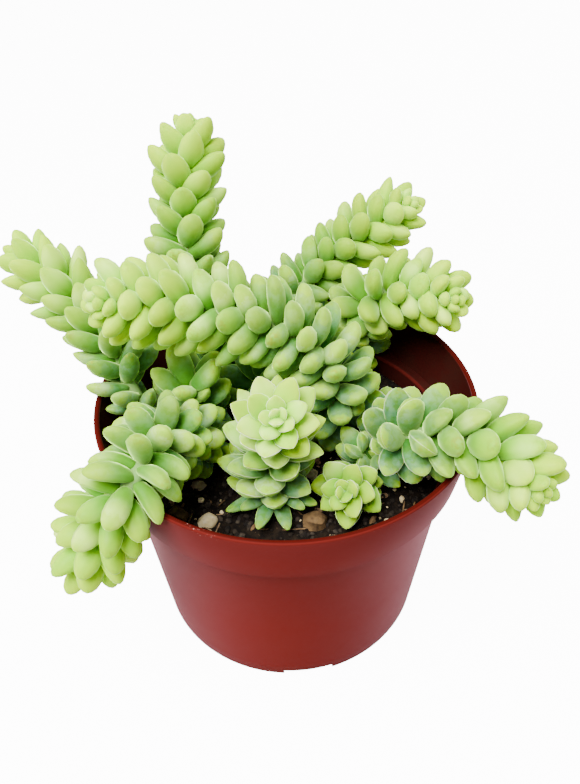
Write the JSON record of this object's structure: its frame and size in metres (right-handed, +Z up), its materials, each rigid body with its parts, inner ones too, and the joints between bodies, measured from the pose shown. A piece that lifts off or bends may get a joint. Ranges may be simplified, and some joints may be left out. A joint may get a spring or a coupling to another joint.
{
  "type": "potted burro's tail sedum",
  "caption": "Trailing succulent with plump overlapping leaves on arching and hanging stems, growing in a round tapered nursery pot filled with gritty potting mix.",
  "frame": {"origin": "middle of the pot's underside, on the surface that it stands on", "axes": "+Z up, -Y towards the front of the plant, +X to its right seen from the front"},
  "size_m": [0.159, 0.1296, 0.1469],
  "materials": {
    "pot": "satin moulded plastic, brick red",
    "soil": "crumbly peat and bark mix with grit",
    "leaf": "waxy fleshy leaf, yellow green to blue green"
  },
  "bodies": {
    "root": {"pot": "pot", "soil": "soil", "stem_back_upright": "leaf", "stem_arching_left": "leaf", "stem_far_left": "leaf", "stem_front_left": "leaf", "stem_inner_left": "leaf", "stem_front": "leaf", "stem_small": "leaf", "stem_right": "leaf", "stem_back_right": "leaf", "stem_back_high": "leaf", "stem_inner_middle": "leaf", "stem_inner_right": "leaf"}
  },
  "joints": []
}
